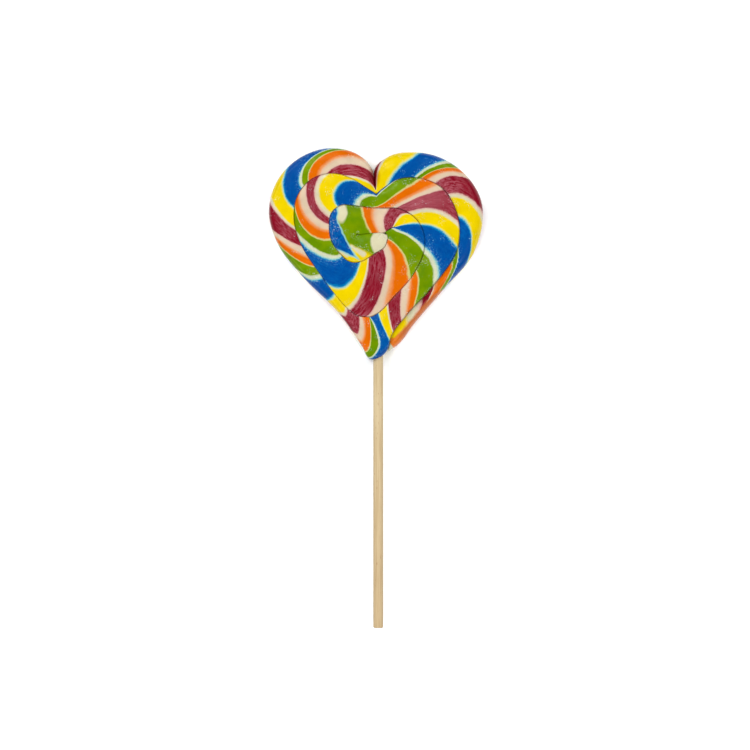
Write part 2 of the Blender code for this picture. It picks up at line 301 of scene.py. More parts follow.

# Spots on the coil: (middle, reach, share of the reach that the core fills), in millimetres. The
# notch between the lobes takes the darkest painted shade, the maroon is dustiest on the right of the
# second turn, and the tail's strip is brightest at its end.
NOTCH_SHADE_SPOT = ((-1.7, 73.0, 8.5), (2.9, 5.2, 16.0), 0.4)
DUSTY_SPOT = ((18.0, 64.0, 10.5), (16.0, 9.0, 16.0), 0.3)
TAIL_GLOW = ((5.6, 7.0, 7.0), (5.5, 5.5, 5.5), 0.5)

# The short crease that runs down from the groove's corner under the notch, in millimetres, and the
# power by which its depth fades towards its foot.
CREASE_TOP = (-0.7, 65.9)
CREASE_FOOT = (-0.6, 63.2)
CREASE_DEPTH = 0.7
CREASE_SPREAD = 0.45
CREASE_FADE = 0.7

# Hand-made unevenness of the rope's top: (height, size) in millimetres.
SWELLS = ((0.16, 9.0), (0.05, 2.6))

# The stick, in millimetres: how far it reaches below the heart's lowest point, and its radius.
STICK_BELOW_HEART = 107.5
STICK_RADIUS = 2.0

# The wood darkens from its top to its foot over this length, in millimetres. Its grain and its
# flecks are long and thin: these are their waves per metre along x, y and z.
WOOD_TONE_LENGTH = 108.0
GRAIN_SCALE = (2200.0, 60.0, 2200.0)
FLECK_SCALE = (1500.0, 420.0, 1500.0)

# Where the grain and the flecks show, as (noise, amount), and how the painted shade darkens the
# stick's sides, as (share of the radius from its axis, amount).
GRAIN_AT = ((0.36, 1.0), (0.6, 0.0))
FLECKS_AT = ((0.7, 0.0), (0.76, 0.7))
SIDE_SHADE_AT = ((0.75, 0.0), (1.0, 0.35))

# The camera looks straight down, at a place a little off the lollipop's own middle. At the stick's
# height the picture is this wide. These sizes are all in millimetres.
PICTURE_WIDTH = 300.0
PICTURE_MIDDLE = (-0.4, 5.3)
CAMERA_HEIGHT = 2000.0
STICK_HEIGHT = 5.5
SENSOR_WIDTH = 36.0

# The sky is dim and even. The lights are (name, azimuth clockwise from +Y and elevation in degrees,
# distance and size in metres, energy in watts, colour). Four large ones stand all round, and one
# small one gives the sparkles.
SKY_STRENGTH = 0.1
LIGHTS = (
    ("upper_left_light", -45, 42, 1.6, 0.9, 19.8, (1.0, 1.0, 1.0)),
    ("upper_right_light", 45, 42, 1.6, 0.9, 17.7, (1.0, 1.0, 1.0)),
    ("lower_right_light", 135, 42, 1.6, 0.9, 15.5, (1.0, 1.0, 1.0)),
    ("lower_left_light", -135, 42, 1.6, 0.9, 15.5, (1.0, 1.0, 1.0)),
    ("sparkle_light", -20, 68, 1.4, 0.06, 2.0, (0.7, 0.95, 1.0)),
)

# The studio light makes a level surface look this many times as bright as its own colour.
LIGHT_GAIN = 1.6


def srgb(red, green, blue):
    """The surface colour that looks like a display colour of 0 to 255 in this scene's light."""
    linear = []
    for value in (red, green, blue):
        share = value / 255
        light = share / 12.92 if share <= 0.04045 else ((share + 0.055) / 1.055) ** 2.4
        linear.append(light / LIGHT_GAIN)
    return (*linear, 1.0)


GREEN = srgb(123, 154, 0)
DARK_GREEN = srgb(86, 134, 0)
STRAW = srgb(214, 200, 128)
ORANGE = srgb(230, 108, 2)
PEACH = srgb(236, 160, 104)
PINK_CREAM = srgb(229, 190, 160)
CREAM = srgb(225, 200, 170)
PALE_PINK = srgb(224, 182, 168)
MAROON = srgb(136, 6, 32)
ROSE = srgb(190, 104, 116)
YELLOW = srgb(241, 210, 0)
PALE_YELLOW = srgb(226, 216, 120)
PALE_CYAN = srgb(150, 206, 200)
BLUE = srgb(0, 77, 158)
LIGHT_BLUE = srgb(10, 116, 190)
CYAN = srgb(0, 132, 190)
MILK = srgb(222, 214, 178)
FRINGE = srgb(214, 218, 186)
# Painted glints: white specks, and cyan ones on the blue, that stand in for sparkling highlights.
GLINT_WHITE = srgb(234, 240, 238)
GLINT_CYAN = srgb(120, 204, 240)
# The tail strip's orange dulled to brown as painted shade of its sloping side, and its bright end.
SHADED_TAIL_ORANGE = srgb(212, 116, 58)
BRIGHT_ORANGE = srgb(236, 124, 36)
WHITE = (1.0, 1.0, 1.0, 1.0)
WOOD_TOP = srgb(220, 198, 156)
WOOD_FOOT = srgb(208, 181, 138)
WOOD_FLECK = srgb(168, 128, 84)
# The shaded colour painted on the stick's sides.
WOOD_SIDE_SHADE = srgb(176, 150, 112)

# These darken the colour that they are multiplied with: painted shade in the grooves and in the notch, and
# the wood's darker grain.
GROOVE_SHADE = (0.42, 0.34, 0.32, 1.0)
NOTCH_SHADE = (0.6, 0.35, 0.35, 1.0)
GRAIN_SHADE = (0.84, 0.79, 0.72, 1.0)

# The floor's colour, and half of its width in metres.
FLOOR_GREY = (0.9, 0.9, 0.9, 1.0)
FLOOR_REACH = 4.0

# The colours round one full twist, as (share of the twist, colour).
STRIPES = (
    (0.0, GREEN),
    (GREEN_SHARE, GREEN),
    (0.192, STRAW),
    (0.2, STRAW),
    (0.214, ORANGE),
    (0.285, ORANGE),
    (0.318, PEACH),
    (0.336, PINK_CREAM),
    (0.36, CREAM),
    (0.395, CREAM),
    (0.412, PALE_PINK),
    (0.425, MAROON),
    (0.592, MAROON),
    (0.606, PALE_PINK),
    (0.622, MILK),
    (0.634, MILK),
    (0.648, YELLOW),
    (0.754, YELLOW),
    (0.766, PALE_YELLOW),
    (0.775, PALE_CYAN),
    (0.785, CYAN),
    (0.798, BLUE),
    (0.926, BLUE),
    (0.94, CYAN),
    (0.95, PALE_CYAN),
    (0.965, FRINGE),
    (0.985, FRINGE),
    (1.0, GREEN),
)

# How much of an effect each part of a twist takes, as (share of the twist, amount): the silk on
# the maroon and on the blue, the painted glints on the frayed fringe, and the deeper patches on the green.
MAROON_SHARES = ((0.412, 0.0), (0.43, 1.0), (0.59, 1.0), (0.606, 0.0))
BLUE_SHARES = ((0.79, 0.0), (0.805, 1.0), (0.92, 1.0), (0.935, 0.0))
FRAYED_SHARES = ((0.885, 0.0), (0.93, 0.9), (0.96, 0.9), (1.0, 0.2))
GREEN_SHARES = ((0.0, 1.0), (0.17, 1.0), (0.186, 0.0))

# The sugar's patterns of patches: (waves per metre, detail, roughness, (noise, amount) stops).
CLOUDS = {
    "cloudy silk": (75.0, 1.0, 0.5, ((0.36, 0.3), (0.62, 1.0))),
    "deep green": (150.0, 2.0, 0.5, ((0.42, 0.0), (0.6, 0.6))),
    "mottled blue": (900.0, 4.0, 0.6, ((0.4, 0.0), (0.75, 0.8))),
    "uneven tone": (190.0, 5.0, 0.6, ((0.3, 0.84), (0.7, 1.0))),
    # These three set where the painted glints lie, which stand in for sparkling highlights.
    "frost specks": (2300.0, 3.0, 0.7, ((0.59, 0.0), (0.64, 1.0))),
    "frost clusters": (210.0, 2.0, 0.5, ((0.57, 0.0), (0.69, 0.9))),
    "frost beside grooves": (90.0, 1.0, 0.5, ((0.46, 0.0), (0.58, 1.0))),
    # This pattern makes the painted shade in the grooves patchy.
    "patchy painted groove shade": (120.0, 2.0, 0.5, ((0.35, 0.45), (0.65, 1.0))),
    "surface roughness": (300.0, 3.0, 0.5, ((0.3, 0.14), (0.7, 0.3))),
}

# Waves per metre of the noises that move the stripes' borders and dent the surface.
WAVER_WAVES = 260.0
FRAY_WAVES = 2100.0
RIPPLE_WAVES = 700.0
GRAIN_WAVES = 2600.0

# How far, in shares of a twist, the borders waver and fray, and in millimetres the patches' edges.
BORDER_WAVER = 0.02
BORDER_FRAY = 0.02
PATCH_WOBBLE = 1.6

# Silk runs along the stripes in strands. These say how many strands there are, at which noise they
# show, how much of them is left at (scaled distance from the outline, amount), and how strong the
# silk and the dust are on the maroon and the blue.
STRANDS_A_TWIST = 64.0
STRANDS_ACROSS = 6.0
SILK = ((0.42, 0.0), (0.6, 1.0))
HAZE_SCALE = 0.2
HAZE = ((0.3, 0.06), (1.0, 1.0))
SILK_ON_MAROON = 0.66
DUST_ON_MAROON = 0.4
SILK_ON_BLUE = 0.42

# The patches, from the lowest to the uppermost: the pale ones as (distance layer, softness of the
# edge, colour), the blue one's fringe, the blue one and the tail's strip. All in millimetres.
PALE_PATCHES = (("from_lemon", 0.9, YELLOW), ("from_cream", 0.4, MILK))
BLUE_FRINGE_WIDTH = 0.55
BLUE_FRINGE_SOFTNESS = 0.25
BLUE_SOFTNESS = 0.2
STRIP_SOFTNESS = 0.5

# Painted glints lie beside the grooves, as (scaled distance from the rope's edge, amount), and how
# strongly they cover.
BESIDE_SCALE = 0.5
BESIDE_GROOVE = ((0.1, 0.0), (0.2, 1.0), (0.34, 1.0), (0.6, 0.0))
GLINT_AMOUNT = 0.8

# How a groove's painted shade fades, as (distance from the rope's edge in millimetres, amount).
GROOVE_FADE = ((0.22, 1.0), (0.6, 0.0))

# How much of the sugar's own colour its gloss takes.
GLOSS_TINT = 0.8


def headings(points, corners):
    """The curve's heading into and out of each point: one heading unless the point is a corner."""
    steps = np.diff(points, axis=0)
    lengths = np.linalg.norm(steps, axis=1)[:, None]
    units = steps / lengths
    before = np.vstack([units[:1], units])
    after = np.vstack([units, units[-1:]])
    length_before = np.vstack([lengths[:1], lengths])
    length_after = np.vstack([lengths, lengths[-1:]])
    blend = before * length_after + after * length_before
    along = blend / np.linalg.norm(blend, axis=1)[:, None]
    into, out_of = along.copy(), along.copy()
    for station, (heading_in, heading_out) in corners.items():
        into[station] = heading_in
        out_of[station] = heading_out
    return into, out_of


def points_on(points, corners, stations):
    """Points at many stations of the smooth curve through the given points."""
    into, out_of = headings(points, corners)
    k = np.minimum(stations.astype(int), len(points) - 2)
    u = (stations - k)[:, None]
    reach = np.linalg.norm(points[k + 1] - points[k], axis=1)[:, None]
    return (
        (2 * u**3 - 3 * u**2 + 1) * points[k]
        + (u**3 - 2 * u**2 + u) * reach * out_of[k]
        + (3 * u**2 - 2 * u**3) * points[k + 1]
        + (u**3 - u**2) * reach * into[k + 1]
    )


def rope_edges(stations):
    """The rope's inner and outer edges. From the second turn on, the inner is the last turn's outer."""
    outer_points = [spoke[2 + turn] for turn in range(4) for spoke in SPOKES if len(spoke) > 2 + turn]
    outer_points = np.array(outer_points)
    fold_points = np.array([spoke[1] for spoke in SPOKES] + [SPOKES[0][2]])
    outer = points_on(outer_points, OUTER_CORNERS, stations)
    fold = points_on(fold_points, INNER_CORNERS, np.minimum(stations, TURN))
    turn_before = points_on(outer_points, OUTER_CORNERS, np.maximum(stations - TURN, 0.0))
    inner = np.where((stations < TURN)[:, None], fold, turn_before)
    return inner, outer


def ring_stations():
    """Where the rope's rings stand: evenly between each two stations, about a ring spacing apart."""
    whole = np.arange(LAST_STATION + 1, dtype=float)
    inner, outer = rope_edges(whole)
    chords = np.linalg.norm(np.diff(outer, axis=0), axis=1)
    stations = []
    for k, chord in enumerate(chords):
        count = max(FEWEST_RINGS, round(chord / RING_SPACING))
        stations += [k + step / count for step in range(count)]
    return np.array(stations + [float(LAST_STATION)])


def at_stations(stations, table):
    """The values of a (station, value) table."""
    where, values = zip(*table)
    return np.interp(stations, where, values)


def arc(centre, radii, angles, faces):
    """Points on a quarter of an oval, without its last one."""
    start, end = angles
    points = []
    for angle in np.radians(np.linspace(start, end, faces + 1)[:-1]):
        points.append((centre[0] + radii[0] * math.cos(angle), centre[1] + radii[1] * math.sin(angle)))
    return points


def section(width, height, shoulder_width, shoulder_height):
    """One ring as (across, up): over the top from the inner groove, and round the back."""
    near = min(GROOVE_SHOULDER, MOST_INNER * width)
    far = max(min(shoulder_width, MOST_BOTH * width - near), LEAST_OUTER)
    drop = min(shoulder_height, MOST_DROP * height)
    back = min(BACK_SHOULDER, MOST_BACK * width)
    span = width - near - far
    crown = CROWN * min(1.0, span / CROWNED_SPAN)
    flank = height - crown
    points = arc((near, flank - near), (near, near), (180, 90), INNER_SHOULDER_FACES)
    for share in np.linspace(0, 1, TOP_FACES + 1)[:-1]:
        points.append((near + share * span, flank + 4 * crown * share * (1 - share)))
    points += arc((width - far, flank - drop), (far, drop), (90, 0), OUTER_SHOULDER_FACES)
    for share in np.linspace(0, 1, WALL_FACES + 1)[:-1]:
        points.append((width, flank - drop + share * (back - flank + drop)))
    points += arc((width - back, back), (back, back), (0, -90), BACK_SHOULDER_FACES)
    for share in np.linspace(0, 1, BACK_FACES + 1)[:-1]:
        points.append((width - back - share * (width - 2 * back), 0.0))
    points += arc((back, back), (back, back), (-90, -180), BACK_SHOULDER_FACES)
    for share in np.linspace(0, 1, WALL_FACES + 1):
        points.append((0.0, back + share * (flank - near - back)))
    return np.array(points)


OVER_THE_TOP = INNER_SHOULDER_FACES + TOP_FACES + OUTER_SHOULDER_FACES


def stripe_table():
    """The twist at each level across the rope and each distance along it.

    The twist counts full turns of the colours. A stripe crosses the rope's middle where TWISTS says,
    and leans over to both edges by LEANS.
    """
    where = [start for row in TWISTS for start in row]
    twists = [number + share for number in range(len(TWISTS)) for share in COLOUR_SHARES]
    where.insert(1, MIDDLE_GREEN_END)
    twists.insert(1, GREEN_SHARE)
    lean_at, inner_shift, outer_shift, belly = zip(*LEANS)
    middle = np.arange(0.0, TABLE_END, TABLE_STEP)
    to_inner = np.interp(middle, lean_at, inner_shift)
    to_outer = np.interp(middle, lean_at, outer_shift)
    bulge = np.interp(middle, lean_at, belly)
    rows = []
    for level in np.linspace(0, 1, ACROSS_LEVELS):
        shift = to_inner * (2 * level - 1) * (level - 1) + to_outer * level * (2 * level - 1)
        shift += bulge * BELLY_GAIN * level**2 * (2 * level - 1) * (1 - level)
        reached = np.maximum.accumulate(middle + shift)
        crossing = np.interp(middle, reached, middle)
        rows.append(np.interp(crossing, where, twists))
    return np.array(rows)


def twist_at(table, along, across):
    """The twist at one distance along the rope, at many levels across it."""
    row = across * (ACROSS_LEVELS - 1)
    row_low = np.clip(row.astype(int), 0, ACROSS_LEVELS - 2)
    row_share = row - row_low
    column = along / TABLE_STEP
    column_low = int(column)
    column_share = column - column_low
    levels = table[:, column_low] * (1 - column_share) + table[:, column_low + 1] * column_share
    return levels[row_low] * (1 - row_share) + levels[row_low + 1] * row_share


def swell(x, y):
    """The unevenness of the rope's top at a place."""
    total = 0.0
    for height, size in SWELLS:
        total += height * noise.noise(Vector((x / size, y / size, size)))
    return total


def press(x, y):
    """How deep the small presses and the crease under the notch are at a place."""
    depth = 0.0
    for press_x, press_y in PRESSES:
        apart = math.hypot(x - press_x, y - press_y)
        if apart < PRESS_LIMIT:
            depth += PRESS_DEPTH * math.exp(-((apart / PRESS_SPREAD) ** 2))
    share = min(max((CREASE_TOP[1] - y) / (CREASE_TOP[1] - CREASE_FOOT[1]), 0.0), 1.0)
    line_x = CREASE_TOP[0] + share * (CREASE_FOOT[0] - CREASE_TOP[0])
    line_y = CREASE_TOP[1] + share * (CREASE_FOOT[1] - CREASE_TOP[1])
    apart = math.hypot(x - line_x, y - line_y)
    if apart < PRESS_LIMIT:
        depth += CREASE_DEPTH * (1 - share) ** CREASE_FADE * math.exp(-((apart / CREASE_SPREAD) ** 2))
    return depth


def above_line(x, y, line):
    """How far a place lies above a line."""
    (start_x, start_y), (end_x, end_y) = line
    run, rise = end_x - start_x, end_y - start_y
    return ((y - start_y) * run - (x - start_x) * rise) / math.hypot(run, rise)


def from_bar(x, y, bar):
    """How far a place lies outside a round-ended bar."""
    (start_x, start_y), (end_x, end_y), radius = bar
    run, rise = end_x - start_x, end_y - start_y
    share = ((x - start_x) * run + (y - start_y) * rise) / (run * run + rise * rise)
    share = min(max(share, 0.0), 1.0)
    return math.hypot(x - start_x - share * run, y - start_y - share * rise) - radius


def patch_distances(x, y, along):
    """How far a place lies outside the blue, the cream and the yellow patches.

    They all lie on the coil's middle, but for the tail's pale end, which counts as cream.
    """
    if along > MIDDLE_LENGTH:
        return FAR_OFF, TAIL_LIP - along, FAR_OFF
    (ring_x, ring_y), radius = SICKLE_RING
    sickle = min(radius - math.hypot(x - ring_x, y - ring_y), x - SICKLE_TOP_X)
    blue = max(sickle, -above_line(x, y, SICKLE_FOOT))
    (oval_x, oval_y), (half_width, half_height) = CREAM_OVAL
    oval = (math.hypot((x - oval_x) / half_width, (y - oval_y) / half_height) - 1) * half_width
    (cap_x, cap_y), cap_radius = CREAM_CAP
    cap = math.hypot(x - cap_x, y - cap_y) - cap_radius
    cream = min([oval, cap] + [from_bar(x, y, bar) for bar in CREAM_BARS])
    return blue, cream, above_line(x, y, LEMON_EDGE)


def distances_at(station, along, width, shares):
    """How far a ring's points lie from the nearer edge, the heart's outline and the tail's strip."""
    on_outline = np.clip(station - 2 * TURN - TIP_CORNER, 0, 1)
    joined = FAR_OFF if along > TAIL_JOINED else 0.0
    from_edge = np.minimum(shares * width + joined, (1 - shares) * width + on_outline * FAR_OFF)
    from_outline = (1 - shares) * width + (1 - on_outline) * FURTHER_IN
    from_outline = from_outline * np.interp(along, CLEAR_TAIL, (1.0, 0.0))
    strip_edge = np.interp(along, *zip(*TAIL_STRIP)) if along > TAIL_STRIP[0][0] else NO_STRIP
    return from_edge, from_outline, (strip_edge - shares) * width


def rope_rings():
    """Each ring's points, the twist at them, and how they lie on the rope.

    That is the distance along it, the share across it, and the distances from distances_at.
    """
    stations = ring_stations()
    inner, outer = rope_edges(stations)
    middle = (inner + outer) / 2
    along = np.concatenate([[0.0], np.cumsum(np.linalg.norm(np.diff(middle, axis=0), axis=1))])
    heights = THICKNESS - at_stations(stations, DROPS)
    shoulder_widths = at_stations(stations, SHOULDER_WIDTHS)
    shoulder_heights = at_stations(stations, SHOULDER_HEIGHTS)
    table = stripe_table()
    rings, twists, places = [], [], []
    for k, station in enumerate(stations):
        length = np.linalg.norm(outer[k] - inner[k])
        across = (outer[k] - inner[k]) / length
        near_overlap = OVERLAP if station >= TURN else FOLD_OVERLAP
        width = length + near_overlap + OVERLAP
        points = section(width, heights[k], shoulder_widths[k], shoulder_heights[k])
        plan = inner[k] - across * near_overlap + points[:, :1] * across
        ring = np.column_stack([plan, points[:, 1]])
        ring[1:OVER_THE_TOP, 2] += [swell(x, y) - press(x, y) for x, y in plan[1:OVER_THE_TOP]]
        shares = np.clip(points[:, 0] / width, 0, 1)
        over = twist_at(table, along[k], shares[: OVER_THE_TOP + 1])
        girth = np.linalg.norm(np.diff(points[OVER_THE_TOP:], axis=0), axis=1)
        round_back = np.cumsum(girth) / girth.sum()
        behind = over[-1] + round_back * (over[0] - 1 - over[-1])
        rings.append(ring)
        twists.append(np.concatenate([over, behind]))
        where = np.full(len(points), along[k])
        distances = distances_at(station, along[k], width, shares)
        places.append(np.column_stack([where, shares, *distances]))
    return np.array(rings), np.array(twists), np.array(places)


def nose(ring, heading):
    """The rings that round off one end of the rope."""
    middle = (ring.max(axis=0) + ring.min(axis=0)) / 2
    ahead = heading * (1.0, 1.0, 0.0)
    ahead = ahead / np.linalg.norm(ahead) * NOSE_LENGTH
    rings = []
    for angle in np.radians(NOSE_ANGLES):
        rings.append(middle + (ring - middle) * math.cos(angle) + ahead * math.sin(angle))
    return rings


def with_noses(rings, twists, places):
    """Adds the rounded ends to the rope's two ends."""
    start = nose(rings[0], rings[0].mean(axis=0) - rings[1].mean(axis=0))
    end = nose(rings[-1], rings[-1].mean(axis=0) - rings[-2].mean(axis=0))
    more = len(NOSE_ANGLES)
    rings = np.concatenate([np.array(start[::-1]), rings, np.array(end)])
    twists = np.pad(twists, ((more, more), (0, 0)), mode="edge")
    places = np.pad(places, ((more, more), (0, 0), (0, 0)), mode="edge")
    return rings, twists, places


def build_rope(place, material):
    """The striped rope: a grid rolled up along the coil, closed at its seam and both ends."""
    rings, twists, places = with_noses(*rope_rings())
    ring_count, around = twists.shape
    bm = bmesh.new()
    stripes = bm.loops.layers.uv.new("stripes")
    distances = [bm.verts.layers.float.new(name) for name in ("from_edge", "from_outline", "from_strip")]
    patches = [bm.verts.layers.float.new(name) for name in ("from_blue", "from_cream", "from_lemon")]
    bmesh.ops.create_grid(bm, x_segments=around - 1, y_segments=ring_count - 1, size=1.0)
    for vertex in bm.verts:
        i = round((vertex.co.x + 1) / 2 * (around - 1))
        j = round((vertex.co.y + 1) / 2 * (ring_count - 1))
        along, across = places[j, i, :2]
        for loop in vertex.link_loops:
            loop[stripes].uv = (twists[j, i], across)
        for layer, distance in zip(distances, places[j, i, 2:]):
            vertex[layer] = distance
        for patch, distance in zip(patches, patch_distances(rings[j, i, 0], rings[j, i, 1], along)):
            vertex[patch] = distance
        vertex.co = rings[j, i] * MM
    bmesh.ops.remove_doubles(bm, verts=bm.verts, dist=1e-7)
    bmesh.ops.holes_fill(bm, edges=[edge for edge in bm.edges if edge.is_boundary])
    bmesh.ops.recalc_face_normals(bm, faces=bm.faces)
    bmesh.ops.translate(bm, vec=place, verts=bm.verts)
    mesh = bpy.data.meshes.new("sugar_rope")
    bm.to_mesh(mesh)
    bm.free()
    mesh.shade_smooth()
    mesh.materials.append(material)
    rope = bpy.data.objects.new("sugar_rope", mesh)
    bpy.context.scene.collection.objects.link(rope)
    return rope


def new_material(name):
    """An empty material with its shader: (material, shader node)."""
    material = bpy.data.materials.new(name)
    material.use_nodes = True
    return material, material.node_tree.nodes["Principled BSDF"]


def add(material, kind, values=None, **settings):
    """A new node with its settings, its inputs' values, and what is linked into it."""
    node = material.node_tree.nodes.new(kind)
    for name, setting in settings.items():
        setattr(node, name, setting)
    for name, value in (values or {}).items():
        if isinstance(value, bpy.types.NodeSocket):
            material.node_tree.links.new(value, node.inputs[name])
        else:
            node.inputs[name].default_value = value
    return node


def math_node(material, operation, *values):
    """A calculation on numbers or sockets."""
    return add(material, "ShaderNodeMath", dict(enumerate(values)), operation=operation).outputs[0]


def ramp(material, amount, stops):
    """A colour ramp from (position, colour or grey) stops."""
    node = add(material, "ShaderNodeValToRGB", {"Fac": amount})
    elements = node.color_ramp.elements
    while len(elements) < len(stops):
        elements.new(1.0)
    for element, (position, colour) in zip(elements, stops):
        element.position = position
        element.color = colour if isinstance(colour, tuple) else (colour, colour, colour, 1.0)
    return node.outputs["Color"]


def mix(material, amount, first, second, blend="MIX"):
    """Two colours mixed by an amount."""
    node = add(material, "ShaderNodeMix", data_type="RGBA", blend_type=blend)
    for index, value in ((0, amount), (6, first), (7, second)):
        if isinstance(value, bpy.types.NodeSocket):
            material.node_tree.links.new(value, node.inputs[index])
        else:
            node.inputs[index].default_value = value
    return node.outputs[2]


def noise_at(material, vector, scale, detail=2.0, roughness=0.5):
    """Soft noise between 0 and 1."""
    values = {"Vector": vector, "Scale": scale, "Detail": detail, "Roughness": roughness}
    return add(material, "ShaderNodeTexNoise", values).outputs["Fac"]


def centred_noise(material, vector, scale, detail=2.0):
    """Soft noise between -0.5 and 0.5."""
    return math_node(material, "SUBTRACT", noise_at(material, vector, scale, detail), 0.5)


def cloud(material, place, name):
    """One of the sugar's patterns of patches, by its name in CLOUDS."""
    scale, detail, roughness, stops = CLOUDS[name]
    return ramp(material, noise_at(material, place, scale, detail, roughness), stops)


def times(material, product, *factors):
    """The product of some numbers or sockets."""
    for factor in factors:
        product = math_node(material, "MULTIPLY", product, factor)
    return product


def stored(material, name):
    """A value that the rope's mesh carries."""
    return add(material, "ShaderNodeAttribute", attribute_name=name).outputs["Fac"]


def inside(material, distance, wobble, softness):
    """1 where a distance from a patch is below 0, with an uneven and soft edge."""
    uneven = math_node(material, "ADD", distance, wobble)
    share = add(
        material,
        "ShaderNodeMapRange",
        {"Value": uneven, "From Min": -softness, "From Max": softness, "To Min": 1.0, "To Max": 0.0},
    )
    return share.outputs["Result"]


def round_spot(material, place, foot, spot):
    """1 in the core of a spot on the coil, fading to 0 at its rim."""
    middle, reach, core = spot
    values = {0: place, 1: foot + Vector(middle) * MM}
    apart = add(material, "ShaderNodeVectorMath", values, operation="SUBTRACT").outputs["Vector"]
    values = {0: apart, 1: Vector(reach) * MM}
    apart = add(material, "ShaderNodeVectorMath", values, operation="DIVIDE").outputs["Vector"]
    length = add(material, "ShaderNodeVectorMath", {0: apart}, operation="LENGTH").outputs["Value"]
    return ramp(material, length, ((core, 1.0), (1.0, 0.0)))


def stripe_colours(material, place, foot, broad):
    """The stripes and their silk, and where each place is in the twist: (colour, share)."""
    stripes = add(material, "ShaderNodeUVMap", uv_map="stripes").outputs["UV"]
    split = add(material, "ShaderNodeSeparateXYZ", {"Vector": stripes})
    fine = centred_noise(material, place, FRAY_WAVES, 3.0)
    twist = math_node(material, "MULTIPLY_ADD", broad, BORDER_WAVER, split.outputs["X"])
    twist = math_node(material, "MULTIPLY_ADD", fine, BORDER_FRAY, twist)
    share = math_node(material, "FRACT", twist)
    colour = ramp(material, share, STRIPES)

    strand_map = {
        "X": times(material, twist, STRANDS_A_TWIST),
        "Y": times(material, split.outputs["Y"], STRANDS_ACROSS),
    }
    strand = add(material, "ShaderNodeCombineXYZ", strand_map).outputs["Vector"]
    silk = ramp(material, noise_at(material, strand, 1.0, 4.0, 0.65), SILK)
    hazy = ramp(material, times(material, stored(material, "from_outline"), HAZE_SCALE), HAZE)
    silk = times(material, silk, hazy, cloud(material, place, "cloudy silk"))
    dusty = times(material, round_spot(material, place, foot, DUSTY_SPOT), DUST_ON_MAROON)
    rose = math_node(material, "MULTIPLY_ADD", silk, SILK_ON_MAROON, dusty)
    rose = times(material, rose, ramp(material, share, MAROON_SHARES))
    colour = mix(material, rose, colour, ROSE)
    sheen = times(material, silk, ramp(material, share, BLUE_SHARES), SILK_ON_BLUE)
    colour = mix(material, sheen, colour, LIGHT_BLUE)
    deeper = times(material, cloud(material, place, "deep green"), ramp(material, share, GREEN_SHARES))
    return mix(material, deeper, colour, DARK_GREEN), share


def with_patches(material, place, foot, broad, colour):
    """The stripes' colour with the patches of the coil's middle and the tail's strip laid over it."""
    wobble = times(material, broad, PATCH_WOBBLE)
    for layer, softness, patch_colour in PALE_PATCHES:
        patch = inside(material, stored(material, layer), wobble, softness)
        colour = mix(material, patch, colour, patch_colour)
    from_blue = stored(material, "from_blue")
    fringe = math_node(material, "SUBTRACT", from_blue, BLUE_FRINGE_WIDTH)
    colour = mix(material, inside(material, fringe, wobble, BLUE_FRINGE_SOFTNESS), colour, PALE_CYAN)
    mottled = mix(material, cloud(material, place, "mottled blue"), BLUE, LIGHT_BLUE)
    colour = mix(material, inside(material, from_blue, wobble, BLUE_SOFTNESS), colour, mottled)
    # The tail's strip: its own orange dulled to brown as painted shade of the sloping side, brightening
    # towards its end.
    strip = mix(material, round_spot(material, place, foot, TAIL_GLOW), SHADED_TAIL_ORANGE, BRIGHT_ORANGE)
    on_strip = inside(material, stored(material, "from_strip"), wobble, STRIP_SOFTNESS)
    return mix(material, on_strip, colour, strip)


def with_painted_glints(material, place, share, colour):
    """The colour with painted glints in clusters, on the fringe and beside the grooves, and where they
    lie.
    """
    beside = ramp(material, times(material, stored(material, "from_edge"), BESIDE_SCALE), BESIDE_GROOVE)
    beside = times(material, beside, cloud(material, place, "frost beside grooves"))
    frayed = ramp(material, share, FRAYED_SHARES)
    glinting = math_node(material, "MAXIMUM", cloud(material, place, "frost clusters"), frayed)
    glinting = math_node(material, "MAXIMUM", glinting, beside)
    glint = times(material, cloud(material, place, "frost specks"), glinting, GLINT_AMOUNT)
    glint_colour = mix(material, ramp(material, share, BLUE_SHARES), GLINT_WHITE, GLINT_CYAN)
    return mix(material, glint, colour, glint_colour), glinting


def with_painted_shade(material, place, foot, colour):
    """The colour darkened by painted shade in the grooves and in the notch."""
    groove = ramp(material, stored(material, "from_edge"), GROOVE_FADE)
    groove = times(material, groove, cloud(material, place, "patchy painted groove shade"))
    colour = mix(material, groove, colour, GROOVE_SHADE, "MULTIPLY")
    return mix(material, round_spot(material, place, foot, NOTCH_SHADE_SPOT), colour, NOTCH_SHADE, "MULTIPLY")


def sugar_material(foot):
    """Glossy boiled sugar whose colours twist round the rope of the heart with this foot."""
    material, shader = new_material("striped_sugar")
    place = add(material, "ShaderNodeTexCoord").outputs["Object"]
    broad = centred_noise(material, place, WAVER_WAVES)
    colour, share = stripe_colours(material, place, foot, broad)
    colour = with_patches(material, place, foot, broad, colour)
    colour = mix(material, 1.0, colour, cloud(material, place, "uneven tone"), "MULTIPLY")
    colour, glinting = with_painted_glints(material, place, share, colour)
    colour = with_painted_shade(material, place, foot, colour)

    ripple = {"Height": noise_at(material, place, RIPPLE_WAVES, 3.0), "Strength": 0.08, "Distance": 0.0002}
    bump = add(material, "ShaderNodeBump", ripple).outputs["Normal"]
    grains = times(material, centred_noise(material, place, GRAIN_WAVES), glinting)
    sparkle = {"Height": grains, "Strength": 0.8, "Distance": 0.0003, "Normal": bump}
    links = material.node_tree.links
    links.new(colour, shader.inputs["Base Color"])
    links.new(mix(material, GLOSS_TINT, WHITE, colour), shader.inputs["Specular Tint"])
    links.new(cloud(material, place, "surface roughness"), shader.inputs["Roughness"])
    links.new(add(material, "ShaderNodeBump", sparkle).outputs["Normal"], shader.inputs["Normal"])
    shader.inputs["Specular IOR Level"].default_value = 0.2
    return material


